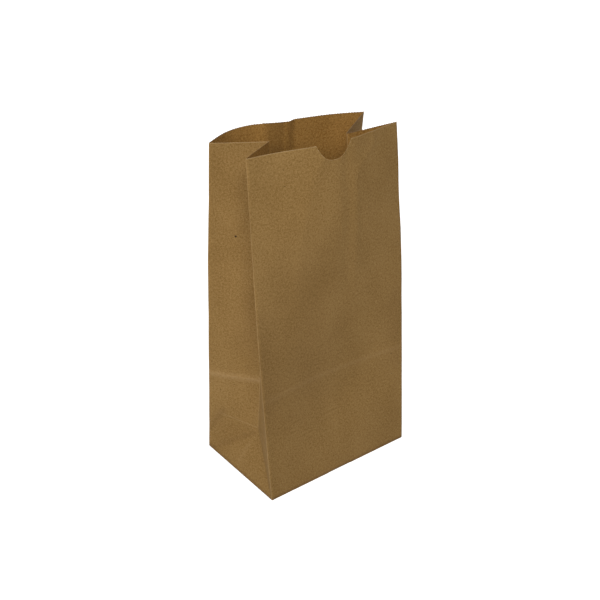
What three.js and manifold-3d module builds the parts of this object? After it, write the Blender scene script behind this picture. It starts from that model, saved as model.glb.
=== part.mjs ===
// Paper lunch bag: one sheet of brown paper folded and glued into a block-bottom
// bag with tucked side gussets, standing open on its base.
// Millimetres, +Z up, front panel (with the thumb notch) facing -Y.
// The origin is the centre of the base, on the surface the bag stands on.

import * as THREE from "three";
import Module from "manifold-3d";

const wasm = await Module();
wasm.setup();
const { Manifold, Mesh: ManifoldMesh } = wasm;

// Driving dimensions

const WIDTH = 133.4;
const DEPTH = 87.3;
const HEIGHT = 277.8;
const PAPER = 0.1;

// How far each top corner has moved from straight above its base corner, and how
// far the soft curves of the panels next to it have lowered it.
const LEAN = {
  frontLeft: { x: 0.9, y: 25.6, drop: 0 },
  frontRight: { x: -1.8, y: 21, drop: 4.4 },
  backLeft: { x: -1.5, y: -20.6, drop: 2.3 },
  backRight: { x: -8.7, y: -38, drop: 2.1 },
};

// Outward bow of the corner edges, and waves of the two wide panels at the rim.
const LEFT_EDGE_BOW = 1.6;
const RIGHT_EDGE_BOW = 2.3;
const FRONT_BOW = { single: 6.8, double: -1.3, triple: -1 };
const BACK_BOW = { single: 15.6, double: 3.4, triple: 1.8 };

// Knee of each gusset: its height on the flat sheet as a share of half a gusset,
// and the angles by which the gussets' feet are pushed in over the base.
const KNEE_SHARE = 0.914;
const LEFT_KNEE_TILT = 28.6;
const RIGHT_KNEE_TILT = 13;

const NOTCH_WIDTH = 30;
const NOTCH_DROP = 12.4;
const NOTCH_CENTRE = 2.5;
const NOTCH_CURVE = 2.7;

const SEAM_START = -12.1;
const SEAM_WIDTH = 17.6;

// Dip of the back panel's rim that ends at the stiff right edge of the seam.
const KINK = { depth: 3.6, reach: 22.7, recovery: 6.7 };

const FLAP_OVERLAP = 12;

// Flattened fold lines left across the panels by the packed, folded state.
const FOLD_RIDGE = 0.35;
const FOLD_HALF_WIDTH = 2.2;

const HALF_GUSSET = DEPTH / 2;
const KNEE_RISE = KNEE_SHARE * HALF_GUSSET;
const GUSSET_COLUMNS = 8;
const PANEL_COLUMNS = 24;
const MIDDLE_ROWS = 6;
const UPPER_ROWS = 15;
const SEAM_STEP = 0.04;
const FOOT_SINK = 0.2;

const radians = (degrees) => (degrees * Math.PI) / 180;
const clamp = (value) => Math.min(Math.max(value, 0), 1);
const vec = (x, y, z) => new THREE.Vector3(x, y, z);

/** Top corner reached by an edge of the bag's height that leans by dx, dy. */
function topCorner(x, y, lean) {
  const rise = Math.sqrt(HEIGHT ** 2 - lean.x ** 2 - lean.y ** 2);
  return vec(x + lean.x, y + lean.y, rise - lean.drop);
}

/** The four upright edges, each with its base corner, top corner and bow. */
function uprightEdges() {
  const w = WIDTH / 2;
  const d = DEPTH / 2;
  const edge = (x, y, lean, bow) => ({
    foot: vec(x, y, 0),
    head: topCorner(x, y, lean),
    bow: vec(bow, 0, 0),
  });
  return {
    frontLeft: edge(-w, -d, LEAN.frontLeft, -LEFT_EDGE_BOW),
    frontRight: edge(w, -d, LEAN.frontRight, RIGHT_EDGE_BOW),
    backRight: edge(w, d, LEAN.backRight, 0),
    backLeft: edge(-w, d, LEAN.backLeft, 0),
  };
}

/** Point of an upright edge at sheet height v. */
function edgePoint(edge, v) {
  const t = v / HEIGHT;
  const swell = 4 * t * (1 - t);
  return edge.foot.clone().lerp(edge.head, t).addScaledVector(edge.bow, swell);
}

/** Knee of a gusset: the point over the base where its creases meet. */
function kneePoint(side, tiltDegrees) {
  const tilt = radians(tiltDegrees);
  const inward = KNEE_RISE * Math.sin(tilt);
  return vec(side * (WIDTH / 2 - inward), 0, KNEE_RISE * Math.cos(tilt));
}

/**
 * Top of a gusset's centre crease. It lies half a gusset from both rim corners,
 * tipped down until the crease from the knee has its length in the flat sheet.
 */
function gussetTop(cornerA, cornerB, knee, side) {
  const middle = cornerA.clone().add(cornerB).multiplyScalar(0.5);
  const chord = cornerB.clone().sub(cornerA);
  const reach = Math.sqrt(HALF_GUSSET ** 2 - chord.lengthSq() / 4);
  const inward = vec(-chord.y, chord.x, 0).normalize();
  if (inward.x * side > 0) inward.negate();
  const crease = HEIGHT - KNEE_RISE;
  const at = (angle) =>
    middle
      .clone()
      .addScaledVector(inward, reach * Math.cos(angle))
      .add(vec(0, 0, -reach * Math.sin(angle)));
  let low = 0;
  let high = 1.2;
  for (let i = 0; i < 50; i += 1) {
    const angle = (low + high) / 2;
    if (at(angle).distanceTo(knee) > crease) low = angle;
    else high = angle;
  }
  return at((low + high) / 2);
}

/** Small outward ridge of a flattened fold line that crosses a panel. */
function foldRidge(v, line) {
  const t = (v - line) / FOLD_HALF_WIDTH;
  return FOLD_RIDGE * Math.exp(-t * t);
}

/** Sheet heights of the rows, from the base to the rim. */
function rowHeights() {
  const rows = [];
  for (let i = 0; i <= GUSSET_COLUMNS; i += 1) {
    rows.push((KNEE_RISE * i) / GUSSET_COLUMNS);
  }
  rows.push(HALF_GUSSET);
  for (let i = 1; i < MIDDLE_ROWS; i += 1) {
    rows.push(HALF_GUSSET + ((DEPTH - FOLD_HALF_WIDTH - HALF_GUSSET) * i) / MIDDLE_ROWS);
  }
  rows.push(DEPTH - FOLD_HALF_WIDTH, DEPTH, DEPTH + FOLD_HALF_WIDTH);
  const start = DEPTH + FOLD_HALF_WIDTH;
  for (let i = 1; i <= UPPER_ROWS; i += 1) {
    rows.push(start + ((HEIGHT - start) * i) / UPPER_ROWS);
  }
  return rows;
}

/** Fractions across a plain panel, evenly spaced. */
function evenColumns(count) {
  return Array.from({ length: count + 1 }, (_, i) => i / count);
}

/** Fractions across the back panel: a step at each edge of the seam, and the kink. */
function seamColumns() {
  const toFraction = (x) => (WIDTH / 2 - x) / WIDTH;
  const seamEnd = SEAM_START + SEAM_WIDTH;
  const edges = [seamEnd, SEAM_START].map(toFraction);
  const bends = [seamEnd + KINK.recovery / 2, seamEnd + KINK.recovery].map(toFraction);
  const step = SEAM_STEP / WIDTH;
  const clear = 0.4 / PANEL_COLUMNS;
  const isClear = (f) => edges.concat(bends).every((e) => Math.abs(f - e) > clear);
  const even = evenColumns(PANEL_COLUMNS).filter(isClear);
  const stepped = edges.flatMap((e) => [e - step, e + step]);
  return even.concat(stepped, bends).sort((a, b) => a - b);
}

/** Thickness of the extra glued layer at a fraction across the back panel. */
function seamLayer(fraction) {
  const x = WIDTH / 2 - fraction * WIDTH;
  return x > SEAM_START && x < SEAM_START + SEAM_WIDTH ? PAPER : 0;
}

/** Wave of a wide panel across its width, where s runs from 0 to pi. */
function wave(bow, s) {
  return bow.single * Math.sin(s) + bow.double * Math.sin(2 * s) + bow.triple * Math.sin(3 * s);
}

/** Inward dip of the back panel that recovers past the right edge of the seam. */
function seamKink(x) {
  const past = x - SEAM_START - SEAM_WIDTH;
  if (past < 0) return -KINK.depth * clamp(1 + past / KINK.reach);
  const t = clamp(past / KINK.recovery);
  return -KINK.depth * (1 - t * t * (3 - 2 * t));
}

/** Front panel between its two upright edges, bowed out towards the rim. */
function frontPanelPoint(edges, fraction, v) {
  const left = edgePoint(edges.frontLeft, v);
  const right = edgePoint(edges.frontRight, v);
  const bow = wave(FRONT_BOW, Math.PI * fraction) * (v / HEIGHT);
  const point = left.lerp(right, fraction);
  point.y -= bow + foldRidge(v, DEPTH);
  return point;
}

/** Back panel from right to left, with the S-shaped bow of its loose rim. */
function backPanelPoint(edges, fraction, v) {
  const right = edgePoint(edges.backRight, v);
  const left = edgePoint(edges.backLeft, v);
  const bow = wave(BACK_BOW, Math.PI * (1 - fraction)) + seamKink(WIDTH / 2 - WIDTH * fraction);
  const point = right.lerp(left, fraction);
  point.y += bow * (v / HEIGHT) + foldRidge(v, HALF_GUSSET);
  return point;
}

/** Centre crease of a gusset at sheet height v, from the knee to the rim. */
function creasePoint(gusset, v) {
  const t = (v - KNEE_RISE) / (HEIGHT - KNEE_RISE);
  return gusset.knee.clone().lerp(gusset.top, t);
}

/**
 * Half of a gusset between an upright edge and the centre crease.
 * Below the knee the sheet turns over a diagonal crease into the base.
 */
function gussetPoint(edge, gusset, across, v) {
  const toKnee = across / HALF_GUSSET;
  if (v >= KNEE_RISE) {
    const side = edgePoint(edge, v);
    return side.lerp(creasePoint(gusset, v), toKnee);
  }
  if (v <= KNEE_RISE * toKnee) {
    const hinge = edge.foot.clone().setY(edge.foot.y * (1 - toKnee));
    const middle = vec(edge.foot.x, 0, 0);
    const slope = gusset.knee.clone().sub(middle);
    return hinge.addScaledVector(slope, v / KNEE_RISE);
  }
  const upright = edgePoint(edge, v);
  const onDiagonal = edgePoint(edge, KNEE_RISE * toKnee);
  const fold = edge.foot.clone().lerp(gusset.knee, toKnee);
  return upright.add(fold.sub(onDiagonal));
}

/** Columns of the whole wall, once around from the front left edge. */
function wallColumns(edges, gussets) {
  const columns = [];
  const add = (point, outer, split) => columns.push({ point, outer, split });
  evenColumns(PANEL_COLUMNS)
    .slice(0, -1)
    .forEach((f) => add((v) => frontPanelPoint(edges, f, v), 0, 1));
  const half = (edge, gusset, count, towards) => {
    for (let i = 0; i < count; i += 1) {
      const across = (HALF_GUSSET * (towards > 0 ? i : count - i)) / count;
      add((v) => gussetPoint(edge, gusset, across, v), 0, towards);
    }
  };
  half(edges.frontRight, gussets.right, GUSSET_COLUMNS, 1);
  half(edges.backRight, gussets.right, GUSSET_COLUMNS, -1);
  seamColumns()
    .slice(0, -1)
    .forEach((f) => add((v) => backPanelPoint(edges, f, v), seamLayer(f), 1));
  half(edges.backLeft, gussets.left, GUSSET_COLUMNS, 1);
  half(edges.frontLeft, gussets.left, GUSSET_COLUMNS, -1);
  return columns;
}

/** Triangles of the middle surface, with quads split along the fold lines. */
function wallFaces(columns, rowCount) {
  const faces = [];
  const count = columns.length;
  for (let c = 0; c < count; c += 1) {
    const next = (c + 1) % count;
    for (let r = 0; r + 1 < rowCount; r += 1) {
      const a = r * count + c;
      const b = r * count + next;
      const d = (r + 1) * count + c;
      const e = (r + 1) * count + next;
      if (columns[c].split > 0) faces.push([a, b, e], [a, e, d]);
      else faces.push([a, b, d], [b, e, d]);
    }
  }
  return faces;
}

/** Unit normals at the vertices, weighted by the angle of each corner. */
function vertexNormals(points, faces) {
  const normals = points.map(() => vec(0, 0, 0));
  faces.forEach((face) => {
    const [p, q, s] = face.map((i) => points[i]);
    const normal = q.clone().sub(p).cross(s.clone().sub(p)).normalize();
    face.forEach((index, k) => {
      const here = points[index];
      const one = points[face[(k + 1) % 3]].clone().sub(here);
      const two = points[face[(k + 2) % 3]].clone().sub(here);
      normals[index].addScaledVector(normal, one.angleTo(two));
    });
  });
  return normals.map((n) => n.normalize());
}

/** Closed tube of paper: outer and inner skins joined at the rim and the foot. */
function wallShell(edges) {
  const gusset = (side, tilt, front, back) => {
    const knee = kneePoint(side, tilt);
    return { knee, top: gussetTop(front.head, back.head, knee, side) };
  };
  const gussets = {
    left: gusset(-1, LEFT_KNEE_TILT, edges.frontLeft, edges.backLeft),
    right: gusset(1, RIGHT_KNEE_TILT, edges.frontRight, edges.backRight),
  };
  const rows = rowHeights();
  const columns = wallColumns(edges, gussets);
  const points = rows.flatMap((v) => columns.map((column) => column.point(v)));
  const faces = wallFaces(columns, rows.length);
  const normals = vertexNormals(points, faces);
  const lift = (2 - FOOT_SINK) * PAPER;
  const coordinates = [];
  const skin = (distance) =>
    points.forEach((point, i) => {
      const offset = point.clone().addScaledVector(normals[i], distance(columns[i % columns.length]));
      coordinates.push(offset.x, offset.y, offset.z + lift);
    });
  skin((column) => PAPER / 2 + column.outer);
  skin(() => -PAPER / 2);
  const total = points.length;
  const triangles = faces.flatMap(([a, b, c]) => [a, b, c, a + total, c + total, b + total]);
  const count = columns.length;
  const ring = (start, up) => {
    for (let c = 0; c < count; c += 1) {
      const a = start + c;
      const b = start + ((c + 1) % count);
      if (up) triangles.push(a, b, b + total, a, b + total, a + total);
      else triangles.push(a, b + total, b, a, a + total, b + total);
    }
  };
  ring(0, false);
  ring(total - count, true);
  return new Manifold(
    new ManifoldMesh({
      numProp: 3,
      vertProperties: Float32Array.from(coordinates),
      triVerts: Uint32Array.from(triangles),
    }),
  );
}

/** Flat plate over a polygon, from one level to another. */
function plate(outline, bottom, top) {
  return Manifold.extrude([outline], top - bottom).translate(0, 0, bottom);
}

/**
 * Block bottom: the ends of both gussets are folded in first, then the back flap
 * and last the front flap, which lies lowest and is glued over the back flap.
 */
function blockBottom() {
  const w = (WIDTH + PAPER) / 2;
  const d = (DEPTH + PAPER) / 2;
  const o = FLAP_OVERLAP;
  const frontFlap = plate([[-w, -d], [w, -d], [w - d - o, o], [-w + d + o, o]], 0, 2 * PAPER);
  const backFlap = plate([[w, d], [-w, d], [-w + d, 0], [w - d, 0]], PAPER, 2 * PAPER);
  const inner = w - d - o;
  const rightEnd = plate([[inner, -d], [w, -d], [w, d], [inner, d]], 2 * PAPER, 3 * PAPER);
  const leftEnd = plate([[-w, -d], [-inner, -d], [-inner, d], [-w, d]], 2 * PAPER, 3 * PAPER);
  return Manifold.union([frontFlap, backFlap, rightEnd, leftEnd]);
}

/** Cutter for the thumb notch: steep flanks running into a rounded bottom. */
function notchCutter(edges) {
  const half = NOTCH_WIDTH / 2;
  const outline = [[half + 2.5, NOTCH_DROP + 6], [-half - 2.5, NOTCH_DROP + 6]];
  const steps = 28;
  for (let i = 0; i <= steps; i += 1) {
    const t = (2 * i) / steps - 1;
    outline.push([t * half, NOTCH_DROP * Math.abs(t) ** NOTCH_CURVE]);
  }
  const left = edges.frontLeft.head;
  const right = edges.frontRight.head;
  const rim = left.clone().lerp(right, 0.5 + NOTCH_CENTRE / WIDTH);
  const slope = Math.atan2(right.z - left.z, right.x - left.x);
  const deep = 24;
  return Manifold.extrude([outline], deep)
    .rotate([90, 0, 0])
    .rotate([0, (-slope * 180) / Math.PI, 0])
    .translate(rim.x, rim.y - FRONT_BOW.single - 8 + deep, rim.z - NOTCH_DROP);
}

/** Flat-shaded geometry from a solid, ready for a mesh. */
function toGeometry(solid) {
  const { numProp, vertProperties, triVerts } = solid.getMesh();
  const positions = new Float32Array((vertProperties.length / numProp) * 3);
  for (let i = 0; i < positions.length / 3; i += 1) {
    positions[3 * i] = vertProperties[numProp * i];
    positions[3 * i + 1] = vertProperties[numProp * i + 1];
    positions[3 * i + 2] = vertProperties[numProp * i + 2];
  }
  const geometry = new THREE.BufferGeometry();
  geometry.setAttribute("position", new THREE.BufferAttribute(positions, 3));
  geometry.setIndex(new THREE.BufferAttribute(Uint32Array.from(triVerts), 1));
  geometry.computeVertexNormals();
  return geometry;
}

/** The whole bag as one glued sheet. */
function paperBag() {
  const edges = uprightEdges();
  const solid = wallShell(edges).subtract(notchCutter(edges)).add(blockBottom());
  const kraft = new THREE.MeshStandardMaterial({ color: 0x8f6c40, roughness: 0.85 });
  const mesh = new THREE.Mesh(toGeometry(solid), kraft);
  mesh.name = "paper_bag";
  return mesh;
}

const group = new THREE.Group();
group.name = "paper_lunch_bag";
group.add(paperBag());

export default group;
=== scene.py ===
"""Looks of the brown paper lunch bag: the folded sheet, its finish, the studio and the camera."""

import logging
from collections.abc import Callable
from dataclasses import dataclass, field
from enum import Enum
from math import copysign, cos, exp, pi, radians, sin, sqrt

import bmesh
import bpy
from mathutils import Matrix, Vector, noise


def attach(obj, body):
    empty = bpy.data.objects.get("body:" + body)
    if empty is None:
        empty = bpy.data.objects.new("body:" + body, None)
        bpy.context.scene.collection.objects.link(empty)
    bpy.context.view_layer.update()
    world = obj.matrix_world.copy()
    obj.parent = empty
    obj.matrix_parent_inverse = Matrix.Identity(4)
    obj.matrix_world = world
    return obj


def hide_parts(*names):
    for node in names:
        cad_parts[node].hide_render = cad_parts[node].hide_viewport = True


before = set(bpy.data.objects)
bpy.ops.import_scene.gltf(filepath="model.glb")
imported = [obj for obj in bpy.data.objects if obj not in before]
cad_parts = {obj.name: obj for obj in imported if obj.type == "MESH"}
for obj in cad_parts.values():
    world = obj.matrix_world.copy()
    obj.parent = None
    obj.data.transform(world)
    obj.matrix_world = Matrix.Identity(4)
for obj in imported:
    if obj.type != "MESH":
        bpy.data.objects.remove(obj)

Place = tuple[float, float]
Triple = tuple[float, float, float]
Socket = bpy.types.NodeSocket

log = logging.getLogger("paper_lunch_bag")

MM = 0.001
SHEET_UV = "sheet"
WHITE = (1.0, 1.0, 1.0, 1.0)


class Panel(Enum):
    """Stretches of the sheet, in order round the bag from its front left edge."""

    FRONT = "front"
    RIGHT_FRONT_HALF = "right_front_half"
    RIGHT_BACK_HALF = "right_back_half"
    BACK = "back"
    LEFT_BACK_HALF = "left_back_half"
    LEFT_FRONT_HALF = "left_front_half"

    @property
    def is_wide(self) -> bool:
        """Whether this is the front or the back panel, and not half a gusset."""
        return self in (Panel.FRONT, Panel.BACK)


class Mark(Enum):
    """Wear, stains, painted shade and the inner face, marked on the sheet's points and read by its
    finish.
    """

    FOLD = "fold_wear"
    CUT = "cut_edge"
    BAND = "soft_crease"
    # Stains, painted shade below folds and in soft patches, and darker lines at the base fold and the
    # inner rim.
    STAIN_AND_SHADE = "soiled"
    # Inner face, which the finish gives painted bounced light.
    INNER = "inner_face"


def smooth(value: float) -> float:
    """Eased step from 0 to 1.

    Args:
        value: Position along the step; 0 and below give 0, 1 and above give 1.

    Returns:
        The eased share.
    """
    t = min(max(value, 0.0), 1.0)
    return t * t * (3.0 - 2.0 * t)


@dataclass(frozen=True)
class BagSizes:
    """Sizes of the bag in millimetres.

    The overall sizes, the leans, the two edge bows, the waves of the panels, the knees, the
    notch, the seam, the kink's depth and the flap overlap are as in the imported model. The
    other values are this sheet's own. A lean is how far a rim corner has moved to the right,
    back and down, and a bow of a panel holds the heights of its three waves.
    """

    width: float = 133.4
    depth: float = 87.3
    height: float = 277.8
    paper: float = 0.12
    front_left_lean: Triple = (0.9, 25.6, 0.0)
    front_right_lean: Triple = (-1.8, 21.0, 4.4)
    back_right_lean: Triple = (-8.7, -38.0, 2.1)
    back_left_lean: Triple = (-1.5, -20.6, 2.3)
    left_edge_bow: float = 1.6
    right_edge_bow: float = 2.3
    back_left_bow: float = 0.6
    front_bow: Triple = (6.8, -1.3, -1.0)
    front_bow_power: float = 2.2
    back_bow: Triple = (15.6, 3.4, 1.8)
    knee_share: float = 0.914
    left_knee_tilt: float = 28.6
    right_knee_tilt: float = 13.0
    notch_width: float = 30.0
    notch_drop: float = 12.4
    notch_centre: float = 2.5
    notch_curve: float = 2.7
    seam_left: float = -12.1
    seam_width: float = 17.6
    kink_depth: float = 3.6
    kink_power: int = 5
    kink_reach: float = 28.375
    kink_recovery: float = 8.5
    flap_overlap: float = 12.0
    flap_turn: float = 4.0
    base_layer: float = 0.14
    foot_layers: float = 2.2

    @property
    def half_gusset(self) -> float:
        """Width of half a gusset."""
        return self.depth / 2.0

    @property
    def knee_rise(self) -> float:
        """Height of the gussets' knees on the flat sheet."""
        return self.knee_share * self.half_gusset

    @property
    def girth(self) -> float:
        """Length once round the bag."""
        return 2.0 * (self.width + self.depth)

    @property
    def flap(self) -> float:
        """Length of the flaps that close the base."""
        return self.half_gusset + self.flap_overlap

    @property
    def foot(self) -> float:
        """Height of the sheet's fold line at the base."""
        return self.foot_layers * self.base_layer

    @property
    def sheet_start(self) -> float:
        """Place of the sheet's inner free edge, measured round the bag."""
        return self.width + self.depth + self.width / 2.0 - self.seam_left - self.seam_width

    @property
    def sheet_end(self) -> float:
        """Place of the sheet's outer free edge, measured round the bag."""
        return self.sheet_start + self.girth + self.seam_width

    @property
    def starts(self) -> dict[Panel, float]:
        """Place of each panel's first edge, measured round the bag."""
        w, d, half = self.width, self.depth, self.half_gusset
        return dict(zip(Panel, (0.0, w, w + half, w + d, 2.0 * w + d, 2.0 * w + 1.5 * d)))


@dataclass(frozen=True)
class UprightEdge:
    """One upright edge of the bag, bowed between its base and rim corners."""

    foot: Vector
    head: Vector
    bow: float

    def at(self, share: float) -> Vector:
        """Point at a share of the sheet's height."""
        swell = 4.0 * share * (1.0 - share)
        return self.foot.lerp(self.head, share) + Vector((self.bow * swell, 0.0, 0.0))


@dataclass(frozen=True)
class Gusset:
    """Centre crease of a tucked side, from its knee over the base to the rim."""

    knee: Vector
    top: Vector


class FoldedForm:
    """Where each place of the flat sheet lies on the standing bag, in millimetres."""

    most_dip = 1.2
    halvings = 50
    near = 1.0e-3

    def __init__(self, sizes: BagSizes) -> None:
        """Works out the edges and gussets.

        Args:
            sizes: The bag's sizes.
        """
        self.sizes = sizes
        w, d = sizes.width / 2.0, sizes.depth / 2.0
        self.front_left = self._edge(-w, -d, sizes.front_left_lean, -sizes.left_edge_bow)
        self.front_right = self._edge(w, -d, sizes.front_right_lean, sizes.right_edge_bow)
        self.back_right = self._edge(w, d, sizes.back_right_lean, 0.0)
        self.back_left = self._edge(-w, d, sizes.back_left_lean, -sizes.back_left_bow)
        self.left = self._gusset(-1, sizes.left_knee_tilt, self.front_left, self.back_left)
        self.right = self._gusset(1, sizes.right_knee_tilt, self.front_right, self.back_right)

    def _edge(self, x: float, y: float, lean: Triple, bow: float) -> UprightEdge:
        """Upright edge over a base corner, as long as the sheet is tall.

        Args:
            x: Base corner's place to the right.
            y: Base corner's place to the back.
            lean: How far the rim corner has moved to the right, back and down.
            bow: Bow of the edge to the right.

        Returns:
            The edge.
        """
        rise = sqrt(self.sizes.height**2 - lean[0] ** 2 - lean[1] ** 2) - lean[2]
        head = Vector((x + lean[0], y + lean[1], rise))
        return UprightEdge(Vector((x, y, 0.0)), head, bow)

    def _gusset(self, side: int, tilt: float, front: UprightEdge, back: UprightEdge) -> Gusset:
        """Crease whose halves keep the flat sheet's widths and length.

        Args:
            side: 1 for the right side, -1 for the left.
            tilt: Angle by which the foot of the gusset is pushed in, in degrees.
            front: Upright edge in front of the gusset.
            back: Upright edge behind the gusset.

        Returns:
            The gusset's knee and the top of its crease.
        """
        half, rise = self.sizes.half_gusset, self.sizes.knee_rise
        angle = radians(tilt)
        knee = Vector((side * (self.sizes.width / 2.0 - rise * sin(angle)), 0.0, rise * cos(angle)))
        middle = (front.head + back.head) / 2.0
        chord = back.head - front.head
        reach = sqrt(half**2 - chord.length_squared / 4.0)
        inward = Vector((-chord.y, chord.x, 0.0)).normalized()
        if inward.x * side > 0.0:
            inward.negate()
        low, high = 0.0, self.most_dip
        for _ in range(self.halvings):
            dip = (low + high) / 2.0
            top = middle + inward * reach * cos(dip) - Vector((0.0, 0.0, reach * sin(dip)))
            if (top - knee).length > self.sizes.height - rise:
                low = dip
            else:
                high = dip
        return Gusset(knee, top)

    def panel(self, along: float) -> tuple[Panel, float]:
        """Panel at a place round the bag.

        Args:
            along: Distance round the bag from the front left edge.

        Returns:
            The panel, and the distance into it from its first edge.
        """
        w, half = self.sizes.width, self.sizes.half_gusset
        rest = along % self.sizes.girth
        for panel, length in zip(Panel, (w, half, half, w, half)):
            if rest < length:
                return panel, rest
            rest -= length
        return Panel.LEFT_FRONT_HALF, rest

    def _front(self, across: float, v: float) -> Vector:
        """Front panel, bowed out towards the rim.

        Args:
            across: Distance into the panel.
            v: Height on the sheet.

        Returns:
            The point.
        """
        share, rise = across / self.sizes.width, v / self.sizes.height
        point = self.front_left.at(rise).lerp(self.front_right.at(rise), share)
        point.y -= self._wave(self.sizes.front_bow, pi * share) * rise**self.sizes.front_bow_power
        return point

    def _back(self, across: float, v: float) -> Vector:
        """Back panel, with the wave and the kink of its loose rim.

        Args:
            across: Distance into the panel.
            v: Height on the sheet.

        Returns:
            The point.
        """
        share, rise = across / self.sizes.width, v / self.sizes.height
        point = self.back_right.at(rise).lerp(self.back_left.at(rise), share)
        kink = self._kink(self.sizes.width / 2.0 - across) * rise**self.sizes.kink_power
        point.y += self._wave(self.sizes.back_bow, pi * (1.0 - share)) * rise + kink
        return point

    @staticmethod
    def _wave(bow: Triple, s: float) -> float:
        """Wave of a wide panel across its width, where s runs from 0 to pi."""
        return sum(part * sin((i + 1) * s) for i, part in enumerate(bow))

    def _kink(self, x: float) -> float:
        """Inward dip of the back panel, which recovers past the right edge of the seam.

        Args:
            x: Place to the right of the bag's middle.

        Returns:
            The dip at the rim, to the back.
        """
        sizes = self.sizes
        past = x - sizes.seam_left - sizes.seam_width
        if past < 0.0:
            return -sizes.kink_depth * smooth(1.0 + past / sizes.kink_reach)
        return -sizes.kink_depth * (1.0 - smooth(past / sizes.kink_recovery))

    def _half(self, edge: UprightEdge, gusset: Gusset, across: float, v: float) -> Vector:
        """Half a gusset: flat over the base below its diagonal crease, tucked in above it.

        Args:
            edge: Upright edge beside the half.
            gusset: The gusset's centre crease.
            across: Distance from the upright edge.
            v: Height on the sheet.

        Returns:
            The point.
        """
        rise, height = self.sizes.knee_rise, self.sizes.height
        to_crease = across / self.sizes.half_gusset
        if v >= rise:
            crease = gusset.knee.lerp(gusset.top, (v - rise) / (height - rise))
            return edge.at(v / height).lerp(crease, to_crease)
        if v <= rise * to_crease:
            hinge = Vector((edge.foot.x, edge.foot.y * (1.0 - to_crease), 0.0))
            return hinge + (gusset.knee - Vector((edge.foot.x, 0.0, 0.0))) * (v / rise)
        fold = edge.foot.lerp(gusset.knee, to_crease)
        return edge.at(v / height) + fold - edge.at(rise * to_crease / height)

    def wall(self, along: float, v: float) -> Vector:
        """Point of the bag's wall, on the sharp folded form.

        Args:
            along: Distance round the bag.
            v: Height on the sheet.

        Returns:
            The point.
        """
        panel, into = self.panel(along)
        half = self.sizes.half_gusset
        if panel is Panel.FRONT:
            point = self._front(into, v)
        elif panel is Panel.BACK:
            point = self._back(into, v)
        elif panel is Panel.RIGHT_FRONT_HALF:
            point = self._half(self.front_right, self.right, into, v)
        elif panel is Panel.RIGHT_BACK_HALF:
            point = self._half(self.back_right, self.right, half - into, v)
        elif panel is Panel.LEFT_BACK_HALF:
            point = self._half(self.back_left, self.left, into, v)
        else:
            point = self._half(self.front_left, self.left, half - into, v)
        point.z += self.sizes.foot
        return point

    def base(self, along: float, v: float, outer: bool) -> Vector:
        """Point of a flap folded under the bag: front flap lowest, then back, then sides.

        Args:
            along: Distance round the bag.
            v: Distance past the base's fold line, counted below zero.
            outer: Whether the place is in the outer layer of the lengthwise seam.

        Returns:
            The point on the base.
        """
        sizes, near = self.sizes, self.near
        w, d = sizes.width / 2.0, sizes.depth / 2.0
        back, left = sizes.starts[Panel.BACK], sizes.starts[Panel.LEFT_BACK_HALF]
        rest = along % sizes.girth
        if near < rest < sizes.width - near:
            point, layer = Vector((rest - w, -v - d, 0.0)), 0
        elif rest < near or rest > left - near:
            point, layer = Vector((-w - v, d - (rest - left) % sizes.girth, 0.0)), 3
        elif rest < back + near:
            point, layer = Vector((w + v, rest - sizes.width - d, 0.0)), 3
        else:
            point, layer = Vector((w - (rest - back), d + v, 0.0)), 1 if outer else 2
        level = (layer + 0.5) * sizes.base_layer
        point.z = sizes.foot + (level - sizes.foot) * smooth(-v / sizes.flap_turn)
        return point

    def place(self, along: float, v: float, outer: bool) -> Vector:
        """Point of the sharp folded form, on the wall or under the base."""
        return self.base(along, v, outer) if v < 0.0 else self.wall(along, v)


@dataclass(frozen=True)
class Hump:
    """A bell-shaped swell, or a dent where its height is below zero."""

    height: float
    centre: float
    reach: float

    def at(self, place: float) -> float:
        """Height of the swell at a place."""
        return self.height * exp(-(((place - self.centre) / self.reach) ** 2))


@dataclass(frozen=True)
class Crease:
    """A pressed fold line, a stain or a stretch of painted shade on one panel, between two places of
    that panel.

    Places are (distance into the panel, height), in millimetres.
    """

    panel: Panel
    start: Place
    end: Place
    half_width: float
    mark: Mark
    wear: float
    ridge: float = 0.0

    def share(self, into: float, v: float) -> float:
        """How far the line shows at a place of its panel.

        Args:
            into: Distance into the panel.
            v: Height on the sheet.

        Returns:
            1 on the line, fading away on all sides of it.
        """
        ax, ay = self.start
        dx, dy = self.end[0] - ax, self.end[1] - ay
        t = min(max(((into - ax) * dx + (v - ay) * dy) / (dx * dx + dy * dy), 0.0), 1.0)
        gap = sqrt((into - ax - t * dx) ** 2 + (v - ay - t * dy) ** 2)
        return exp(-((gap / self.half_width) ** 2))


@dataclass(frozen=True)
class Crumple:
    """One layer of the sheet's unevenness, in millimetres."""

    height: float
    width: float
    rise: float
    seed: float

    def at(self, rest: float, v: float) -> float:
        """Height of the layer at a place of the sheet."""
        return self.height * noise.noise(Vector((rest / self.width, v / self.rise, self.seed)))


@dataclass(frozen=True)
class NotchBends:
    """Bends that run down the front panel from the thumb notch, in millimetres.

    A ridge swings left as it goes down, a valley runs beside it, and a streak comes in from
    the right of the notch. Places are distances into the panel.
    """

    fade_end: float = 150.0
    fade_length: float = 100.0
    ridge_place: float = 67.5
    ridge_swing: float = 32.0
    ridge_turn: float = 34.0
    ridge_height: float = 1.5
    ridge_round: float = 3.0
    ridge_reach: float = 15.0
    valley: Hump = Hump(-0.55, 79.5, 5.0)
    streak: Hump = Hump(0.38, 87.0, 3.4)
    streak_swing: float = 20.0
    streak_end: float = 30.0
    streak_turn: float = 22.0

    def at(self, into: float, down: float) -> float:
        """Height of the bends.

        Args:
            into: Distance into the front panel.
            down: Distance below the rim.

        Returns:
            The height, outwards.
        """
        ridge = self.ridge_place - self.ridge_swing * (1.0 - exp(-down / self.ridge_turn))
        beside = sqrt((into - ridge) ** 2 + self.ridge_round)
        fold = self.ridge_height * exp(-beside / self.ridge_reach)
        swing = self.streak_swing * smooth((self.streak_end - down) / self.streak_turn)
        total = fold + self.valley.at(into) + self.streak.at(into - swing)
        return total * smooth((self.fade_end - down) / self.fade_length)


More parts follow.
